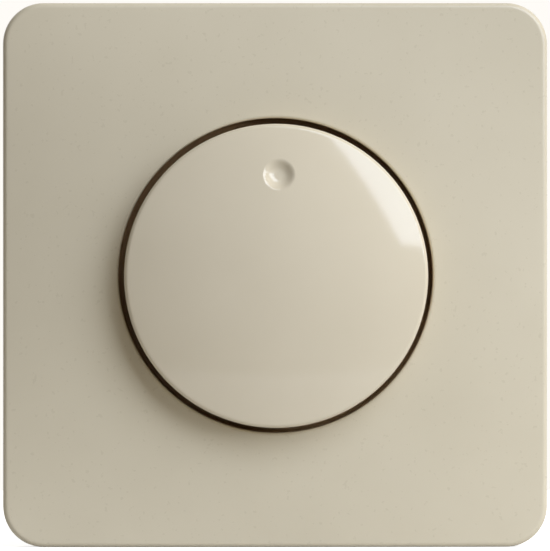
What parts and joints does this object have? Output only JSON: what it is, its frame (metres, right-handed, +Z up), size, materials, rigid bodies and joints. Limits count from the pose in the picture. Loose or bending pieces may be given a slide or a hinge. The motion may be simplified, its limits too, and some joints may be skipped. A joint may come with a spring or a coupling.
{
  "type": "rotary dimmer switch",
  "caption": "Flush wall dimmer: square cream cover plate with a large round knob that turns and pushes, on a steel frame with a box insert behind.",
  "frame": {"origin": "middle of the cover plate, on the wall plane, between the two box-screw slots", "axes": "-Y out of the wall towards the user, +Y into the wall, +Z up, +X to the user's right"},
  "size_m": [0.08, 0.0476, 0.08],
  "materials": {
    "cover_cream": "satin moulded thermoplastic",
    "knob_cream": "gloss moulded thermoplastic",
    "galvanised_steel": "galvanised sheet",
    "zinc_steel": "bright zinc plate",
    "spring_steel": "bare spring steel",
    "brass": "turned",
    "copper": "drawn",
    "aluminium": "plain sheet and bar",
    "phenolic": "moulded and laminated phenolic",
    "carbon": "printed film",
    "white_plastic": "moulded acetal",
    "black_plastic": "moulded polyamide",
    "grey_plastic": "moulded polycarbonate",
    "circuit_board": "solder mask",
    "epoxy": "moulded epoxy",
    "ferrite": "pressed iron powder",
    "capacitor_yellow": "moulded case",
    "resistor_beige": "lacquered",
    "trimmer_blue": "moulded case",
    "ceramic": "glazed ceramic tube with metal caps"
  },
  "bodies": {
    "insert": {"cover_plate": "cover_cream", "cover_nut": "zinc_steel", "lock_nut": "zinc_steel", "lock_washer": "zinc_steel", "bushing": "brass", "pot_cover": "zinc_steel", "pot_case": "phenolic", "track_board": "phenolic", "carbon_track": "carbon", "switch_case": "black_plastic", "fixed_contact_low": "copper", "fixed_contact_high": "copper", "return_spring": "spring_steel", "support_frame": "galvanised_steel", "insert_lid": "grey_plastic", "rear_housing": "grey_plastic", "housing_screw_right": "zinc_steel", "housing_screw_left": "zinc_steel", "pcb": "circuit_board", "terminal_block": "black_plastic", "heat_sink": "aluminium", "triac": "epoxy", "triac_screw": "zinc_steel", "choke_core": "ferrite", "choke_winding": "copper", "capacitor_main": "capacitor_yellow", "capacitor_small": "capacitor_yellow", "resistor": "resistor_beige", "trimmer_body": "trimmer_blue", "fuse": "ceramic", "fuse_carrier": "black_plastic", "claw_pin_left": "spring_steel", "fuse_clip_left": "copper", "claw_pin_right": "spring_steel", "fuse_clip_right": "copper", "terminal_tongue_left": "brass", "terminal_tongue_middle": "brass", "terminal_tongue_right": "brass"},
    "plunger": {"switch_plunger": "white_plastic", "contact_bridge": "copper"},
    "knob": {"rotary_knob": "knob_cream", "knob_clip": "spring_steel", "control_shaft": "aluminium", "shaft_ring": "spring_steel"},
    "wiper": {"wiper_rotor": "white_plastic", "wiper_contact": "copper"},
    "trimmer": {"trimmer_spindle": "white_plastic"},
    "claw_screw_left": {"claw_screw_left": "zinc_steel"},
    "wedge_nut_left": {"wedge_nut_left": "zinc_steel"},
    "claw_left": {"claw_left": "galvanised_steel"},
    "claw_screw_right": {"claw_screw_right": "zinc_steel"},
    "wedge_nut_right": {"wedge_nut_right": "zinc_steel"},
    "claw_right": {"claw_right": "galvanised_steel"},
    "terminal_screw_left": {"terminal_screw_left": "zinc_steel"},
    "terminal_cage_left": {"terminal_cage_left": "brass"},
    "terminal_screw_middle": {"terminal_screw_middle": "zinc_steel"},
    "terminal_cage_middle": {"terminal_cage_middle": "brass"},
    "terminal_screw_right": {"terminal_screw_right": "zinc_steel"},
    "terminal_cage_right": {"terminal_cage_right": "brass"}
  },
  "joints": [
    {"name": "knob_push", "type": "slide", "parent": "insert", "child": "plunger", "axis": [0, 1, 0], "range_m": [0, 0.0018], "stiffness_N_per_m": 2200, "springref_m": -0.002, "deforming": ["return_spring"]},
    {"name": "knob_turn", "type": "hinge", "parent": "plunger", "child": "knob", "pos_m": [0, 0, 0], "axis": [0, 1, 0], "range_deg": [-146.4, 143.6]},
    {"name": "wiper_turn", "type": "hinge", "parent": "insert", "child": "wiper", "pos_m": [0, 0, 0], "axis": [0, 1, 0], "range_deg": [-146.4, 143.6]},
    {"name": "trimmer_turn", "type": "hinge", "parent": "insert", "child": "trimmer", "pos_m": [0.0118, 0, -0.0122], "axis": [0, 1, 0], "range_deg": [-130, 130]},
    {"name": "claw_screw_turn_left", "type": "hinge", "parent": "insert", "child": "claw_screw_left", "pos_m": [-0.0228, 0, 0], "axis": [0, 1, 0], "range_deg": [0, 4320]},
    {"name": "wedge_nut_slide_left", "type": "slide", "parent": "insert", "child": "wedge_nut_left", "axis": [0, -1, 0], "range_m": [0, 0.006]},
    {"name": "claw_spread_left", "type": "hinge", "parent": "insert", "child": "claw_left", "pos_m": [-0.0256, 0.0012, 0], "axis": [0, 0, 1], "range_deg": [0, 20]},
    {"name": "claw_screw_turn_right", "type": "hinge", "parent": "insert", "child": "claw_screw_right", "pos_m": [0.0228, 0, 0], "axis": [0, 1, 0], "range_deg": [0, 4320]},
    {"name": "wedge_nut_slide_right", "type": "slide", "parent": "insert", "child": "wedge_nut_right", "axis": [0, -1, 0], "range_m": [0, 0.006]},
    {"name": "claw_spread_right", "type": "hinge", "parent": "insert", "child": "claw_right", "pos_m": [0.0256, 0.0012, 0], "axis": [0, 0, -1], "range_deg": [0, 20]},
    {"name": "terminal_screw_turn_left", "type": "hinge", "parent": "insert", "child": "terminal_screw_left", "pos_m": [-0.0095, 0.0244, 0], "axis": [0, 0, -1], "range_deg": [0, 1728]},
    {"name": "terminal_cage_slide_left", "type": "slide", "parent": "insert", "child": "terminal_cage_left", "axis": [0, 0, 1], "range_m": [0, 0.0024]},
    {"name": "terminal_screw_turn_middle", "type": "hinge", "parent": "insert", "child": "terminal_screw_middle", "pos_m": [0, 0.0244, 0], "axis": [0, 0, -1], "range_deg": [0, 1728]},
    {"name": "terminal_cage_slide_middle", "type": "slide", "parent": "insert", "child": "terminal_cage_middle", "axis": [0, 0, 1], "range_m": [0, 0.0024]},
    {"name": "terminal_screw_turn_right", "type": "hinge", "parent": "insert", "child": "terminal_screw_right", "pos_m": [0.0095, 0.0244, 0], "axis": [0, 0, -1], "range_deg": [0, 1728]},
    {"name": "terminal_cage_slide_right", "type": "slide", "parent": "insert", "child": "terminal_cage_right", "axis": [0, 0, 1], "range_m": [0, 0.0024]}
  ],
  "couplings": [
    {"joint": "wiper_turn", "follows": "knob_turn", "ratio": 1},
    {"joint": "claw_screw_turn_left", "follows": "wedge_nut_slide_left", "rad_per_m": 12566},
    {"joint": "claw_spread_left", "follows": "wedge_nut_slide_left", "rad_per_m": 58.178},
    {"joint": "claw_screw_turn_right", "follows": "wedge_nut_slide_right", "rad_per_m": 12566},
    {"joint": "claw_spread_right", "follows": "wedge_nut_slide_right", "rad_per_m": 58.178},
    {"joint": "terminal_screw_turn_left", "follows": "terminal_cage_slide_left", "rad_per_m": 12566},
    {"joint": "terminal_screw_turn_middle", "follows": "terminal_cage_slide_middle", "rad_per_m": 12566},
    {"joint": "terminal_screw_turn_right", "follows": "terminal_cage_slide_right", "rad_per_m": 12566}
  ]
}
